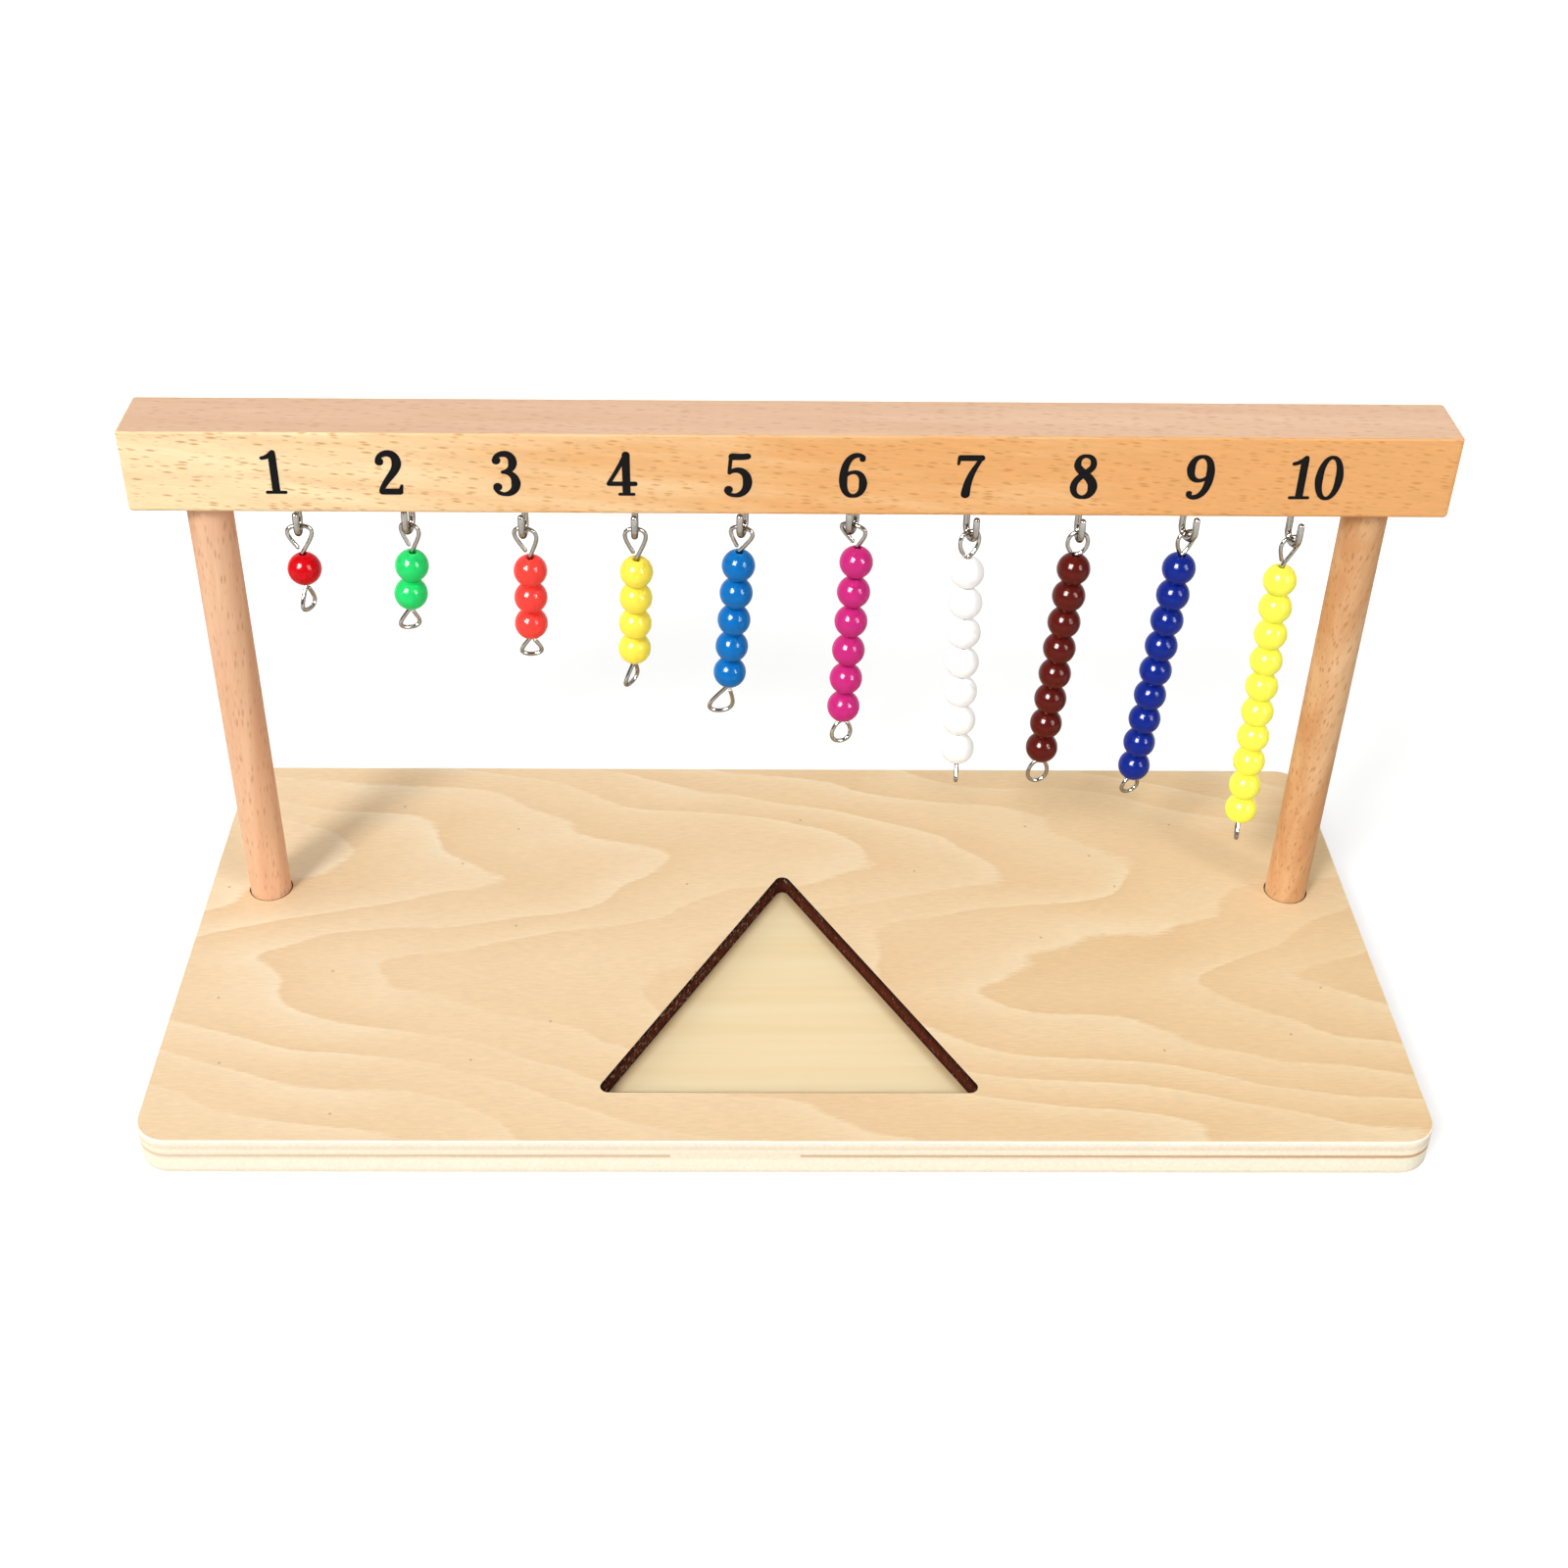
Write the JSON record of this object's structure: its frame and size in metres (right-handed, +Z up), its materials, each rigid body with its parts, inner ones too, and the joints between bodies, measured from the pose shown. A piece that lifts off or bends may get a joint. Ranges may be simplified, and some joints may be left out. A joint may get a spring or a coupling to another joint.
{
  "type": "bead bar counting stand",
  "caption": "Wooden counting stand: a plywood base with a triangular tray, posts and a numbered beam with hooks that hold hanging bars of coloured beads for learning to count.",
  "frame": {"origin": "on the ground, under the middle of the base", "axes": "+X along the beam from the bar with one bead to the longest bar, -Y to the front, +Z up"},
  "size_m": [0.3, 0.145, 0.147],
  "materials": {
    "plywood": "sanded basswood plywood, matt lacquer",
    "beech": "planed beech, satin lacquer",
    "plated_wire": "bright nickel plate on steel wire",
    "red_bead": "polished moulded plastic",
    "green_bead": "polished moulded plastic",
    "coral_bead": "polished moulded plastic",
    "yellow_bead": "polished moulded plastic",
    "blue_bead": "polished moulded plastic",
    "magenta_bead": "polished moulded plastic",
    "white_bead": "polished moulded plastic",
    "brown_bead": "polished moulded plastic",
    "navy_bead": "polished moulded plastic",
    "lemon_bead": "polished moulded plastic"
  },
  "bodies": {
    "stand": {"base_bottom_board": "plywood", "base_top_board": "plywood", "left_post": "beech", "right_post": "beech", "crossbeam": "beech", "hook_1": "plated_wire", "hook_2": "plated_wire", "hook_3": "plated_wire", "hook_4": "plated_wire", "hook_5": "plated_wire", "hook_6": "plated_wire", "hook_7": "plated_wire", "hook_8": "plated_wire", "hook_9": "plated_wire", "hook_10": "plated_wire"},
    "bar_1": {"bead_wire_1": "plated_wire"},
    "bead_row_1": {"bead_1_1": "red_bead"},
    "bar_2": {"bead_wire_2": "plated_wire"},
    "bead_row_2": {"bead_2_1": "green_bead", "bead_2_2": "green_bead"},
    "bar_3": {"bead_wire_3": "plated_wire"},
    "bead_row_3": {"bead_3_1": "coral_bead", "bead_3_2": "coral_bead", "bead_3_3": "coral_bead"},
    "bar_4": {"bead_wire_4": "plated_wire"},
    "bead_row_4": {"bead_4_1": "yellow_bead", "bead_4_2": "yellow_bead", "bead_4_3": "yellow_bead", "bead_4_4": "yellow_bead"},
    "bar_5": {"bead_wire_5": "plated_wire"},
    "bead_row_5": {"bead_5_1": "blue_bead", "bead_5_2": "blue_bead", "bead_5_3": "blue_bead", "bead_5_4": "blue_bead", "bead_5_5": "blue_bead"},
    "bar_6": {"bead_wire_6": "plated_wire"},
    "bead_row_6": {"bead_6_1": "magenta_bead", "bead_6_2": "magenta_bead", "bead_6_3": "magenta_bead", "bead_6_4": "magenta_bead", "bead_6_5": "magenta_bead", "bead_6_6": "magenta_bead"},
    "bar_7": {"bead_wire_7": "plated_wire"},
    "bead_row_7": {"bead_7_1": "white_bead", "bead_7_2": "white_bead", "bead_7_3": "white_bead", "bead_7_4": "white_bead", "bead_7_5": "white_bead", "bead_7_6": "white_bead", "bead_7_7": "white_bead"},
    "bar_8": {"bead_wire_8": "plated_wire"},
    "bead_row_8": {"beads_8": "brown_bead"},
    "bar_9": {"bead_wire_9": "plated_wire"},
    "bead_row_9": {"beads_9": "navy_bead"},
    "bar_10": {"bead_wire_10": "plated_wire"},
    "bead_row_10": {"beads_10": "lemon_bead"}
  },
  "joints": [
    {"name": "bar_1_swing", "type": "hinge", "parent": "stand", "child": "bar_1", "pos_m": [-0.1141, 0.0185, 0.1187], "axis": [1, 0, 0], "range_deg": [-60, 60]},
    {"name": "bead_row_1_turn", "type": "hinge", "parent": "bar_1", "child": "bead_row_1", "pos_m": [-0.11377, 0.01746, 0.10384], "axis": [-0.0087, 0.0698, 0.9975], "continuous": true},
    {"name": "bar_2_swing", "type": "hinge", "parent": "stand", "child": "bar_2", "pos_m": [-0.08841, 0.0185, 0.1193], "axis": [1, 0, 0], "range_deg": [-60, 60]},
    {"name": "bead_row_2_turn", "type": "hinge", "parent": "bar_2", "child": "bead_row_2", "pos_m": [-0.08913, 0.0189, 0.10419], "axis": [0.1132, -0.026, 0.9932], "continuous": true},
    {"name": "bar_3_swing", "type": "hinge", "parent": "stand", "child": "bar_3", "pos_m": [-0.06182, 0.0185, 0.1183], "axis": [1, 0, 0], "range_deg": [-60, 60]},
    {"name": "bead_row_3_turn", "type": "hinge", "parent": "bar_3", "child": "bead_row_3", "pos_m": [-0.06112, 0.02003, 0.10243], "axis": [0.0436, -0.0958, 0.9944], "continuous": true},
    {"name": "bar_4_swing", "type": "hinge", "parent": "stand", "child": "bar_4", "pos_m": [-0.03593, 0.0185, 0.1183], "axis": [1, 0, 0], "range_deg": [-60, 60]},
    {"name": "bead_row_4_turn", "type": "hinge", "parent": "bar_4", "child": "bead_row_4", "pos_m": [-0.03605, 0.0205, 0.10201], "axis": [0.0436, -0.1218, 0.9916], "continuous": true},
    {"name": "bar_5_swing", "type": "hinge", "parent": "stand", "child": "bar_5", "pos_m": [-0.01084, 0.0185, 0.1188], "axis": [1, 0, 0], "range_deg": [-60, 60]},
    {"name": "bead_row_5_turn", "type": "hinge", "parent": "bar_5", "child": "bead_row_5", "pos_m": [-0.01192, 0.01925, 0.10446], "axis": [0.061, -0.0522, 0.9968], "continuous": true},
    {"name": "bar_6_swing", "type": "hinge", "parent": "stand", "child": "bar_6", "pos_m": [0.01474, 0.0185, 0.1198], "axis": [1, 0, 0], "range_deg": [-60, 60]},
    {"name": "bead_row_6_turn", "type": "hinge", "parent": "bar_6", "child": "bead_row_6", "pos_m": [0.01585, 0.01744, 0.10628], "axis": [0.0436, 0.0784, 0.996], "continuous": true},
    {"name": "bar_7_swing", "type": "hinge", "parent": "stand", "child": "bar_7", "pos_m": [0.04253, 0.0185, 0.1181], "axis": [1, 0, 0], "range_deg": [-60, 60]},
    {"name": "bead_row_7_turn", "type": "hinge", "parent": "bar_7", "child": "bead_row_7", "pos_m": [0.04236, 0.01665, 0.10402], "axis": [-0.0087, 0.1305, 0.9914], "continuous": true},
    {"name": "bar_8_swing", "type": "hinge", "parent": "stand", "child": "bar_8", "pos_m": [0.06792, 0.0185, 0.118], "axis": [1, 0, 0], "range_deg": [-60, 60]},
    {"name": "bead_row_8_turn", "type": "hinge", "parent": "bar_8", "child": "bead_row_8", "pos_m": [0.0652, 0.02084, 0.051], "axis": [0.0436, -0.0349, 0.9984], "continuous": true},
    {"name": "bar_9_swing", "type": "hinge", "parent": "stand", "child": "bar_9", "pos_m": [0.09341, 0.0185, 0.1183], "axis": [1, 0, 0], "range_deg": [-60, 60]},
    {"name": "bead_row_9_turn", "type": "hinge", "parent": "bar_9", "child": "bead_row_9", "pos_m": [0.08994, 0.02373, 0.04356], "axis": [0.0436, -0.0697, 0.9966], "continuous": true},
    {"name": "bar_10_swing", "type": "hinge", "parent": "stand", "child": "bar_10", "pos_m": [0.1183, 0.0185, 0.117], "axis": [1, 0, 0], "range_deg": [-60, 60]},
    {"name": "bead_row_10_turn", "type": "hinge", "parent": "bar_10", "child": "bead_row_10", "pos_m": [0.11837, 0.01923, 0.03299], "axis": [-0.0175, -0.0087, 0.9998], "continuous": true}
  ]
}
